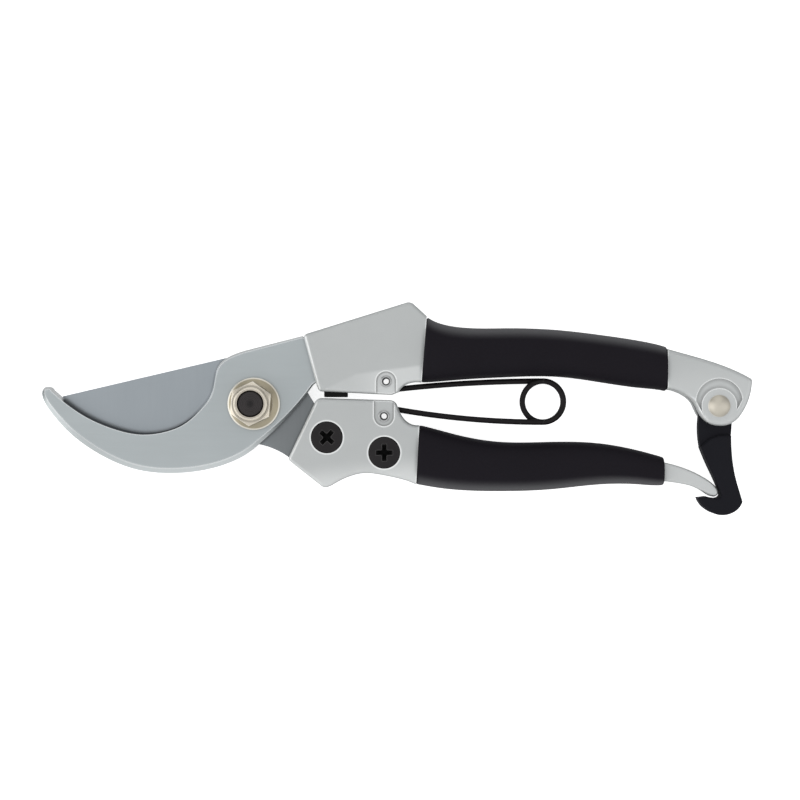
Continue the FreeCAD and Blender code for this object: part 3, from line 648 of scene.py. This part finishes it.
def wireOf(arm):  # the radius of an arm's wire, and its level
    low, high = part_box(arm)
    return (high.z - low.z) / 2, (low.z + high.z) / 2


def springLeg(name, arm, eyelet, coilMiddle, side, body):  # side is 1 towards +Y and -1 towards -Y
    wireRadius, level = wireOf(arm)
    eye = middleOf(eyelet)
    leave = Vector((eye.x + springWire["loopLead"], eye.y - side * springWire["loopRadius"], level))
    meet = Vector((coilMiddle.x, coilMiddle.y + side * springWire["coilRadius"], level))
    run = meet.x - leave.x
    climb = side * (meet.y - leave.y)
    bow = (run * run + climb * climb) / (2 * climb)  # the leg is an arc that meets the coil level
    slope = math.asin(run / bow)
    along = Vector((math.cos(slope), side * math.sin(slope), 0))
    aside = Vector((-side * along.y, side * along.x, 0))
    hub = leave + aside * springWire["loopRadius"]
    mesh = bmesh.new()
    end = startWire(mesh, hub + aside * springWire["loopRadius"], along, wireRadius)
    end = bendWire(mesh, end, hub, side * 180, springWire["loopSteps"])
    middle = meet - Vector((0, side * bow, 0))
    bendWire(mesh, end, middle, -side * math.degrees(slope), springWire["legSteps"])
    leg = finishWire(mesh, name, "spring_steel")
    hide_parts(arm)
    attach(leg, body)


def springCoil(coilMiddle):  # a turn and a half, from the upper leg's layer to the lower one's
    wireRadius, upperLevel = wireOf("spring_upper_arm")
    lowerLevel = wireOf("spring_lower_arm")[1]
    radius = springWire["coilRadius"]
    steps = springWire["coilSteps"]
    centre = Vector((coilMiddle.x, coilMiddle.y, upperLevel))
    mesh = bmesh.new()
    end = startWire(mesh, centre + Vector((0, radius, 0)), Vector((-1, 0, 0)), wireRadius)
    for rise in (0.0, lowerLevel - upperLevel, 0.0):
        end = bendWire(mesh, end, centre, -180, steps, rise)
    coil = finishWire(mesh, "springCoil", "spring_steel")
    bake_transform(coil)


def makeSpring():
    coilMiddle = Vector(joints["spring_coil"]["pos_m"])
    springLeg("springUpperLeg", "spring_upper_arm", "upper_spring_eyelet", coilMiddle, 1,
              "spring_upper_body")
    springLeg("springLowerLeg", "spring_lower_arm", "lower_spring_eyelet", coilMiddle, -1,
              "spring_lower_body")
    springCoil(coilMiddle)


makeSpring()
print("spring made")


# Floor and light

studio = {
    "worldColour": rgb(0.40, 0.41, 0.415),
    "floorSide": 6.0,
    "floorDrop": 0.0002,
    "floorColour": rgb(0.92, 0.92, 0.92),
    "floorShine": 0.1,
    "floorRoughness": 0.9,
    "floorGlow": 0.8,  # the paper is lit from below too
    "lights": (  # name, place, side, power
        ("overBox", (0.05, 0.1, 1.9), 1.8, 5.0),
        ("leftBox", (-1.1, -0.1, 0.75), 1.5, 9.0),
        ("frontBox", (0.05, -1.3, 0.9), 2.2, 8.0),
        ("rightBox", (1.3, -0.2, 0.9), 1.6, 6.0),
        ("backBox", (0.1, 1.3, 0.9), 1.6, 5.0),
    ),
}


def makeWorld(setup):
    world = bpy.data.worlds.new("studioWorld")
    bpy.context.scene.world = world
    world.use_nodes = True
    world.node_tree.nodes["Background"].inputs["Color"].default_value = setup["worldColour"]


def makeFloor(setup):
    mesh = bmesh.new()
    bmesh.ops.create_grid(mesh, x_segments=1, y_segments=1, size=setup["floorSide"] / 2,
                          matrix=Matrix.Translation((0, 0, cadBox[0][2] - setup["floorDrop"])))
    data = bpy.data.meshes.new("floor")
    mesh.to_mesh(data)
    mesh.free()
    floor = bpy.data.objects.new("floor", data)
    bpy.context.scene.collection.objects.link(floor)
    finish = Finish("floorPaper", {"Specular IOR Level": setup["floorShine"],
                                   "Roughness": setup["floorRoughness"],
                                   "Base Color": setup["floorColour"],
                                   "Emission Color": setup["floorColour"],
                                   "Emission Strength": setup["floorGlow"]})
    data.materials.append(finish.material)
    floor.visible_glossy = False  # so that dark rims don't turn white


def makeLights(setup):
    target = middleOf("upper_handle")
    for name, place, side, power in setup["lights"]:
        lamp = bpy.data.lights.new(name, "AREA")
        lamp.size = side
        lamp.energy = power
        holder = bpy.data.objects.new(name, lamp)
        bpy.context.scene.collection.objects.link(holder)
        holder.location = place
        holder.rotation_euler = (target - Vector(place)).to_track_quat("-Z", "Y").to_euler()


makeWorld(studio)
makeFloor(studio)
makeLights(studio)
bpy.context.scene.view_settings.view_transform = "Standard"
print("studio made")
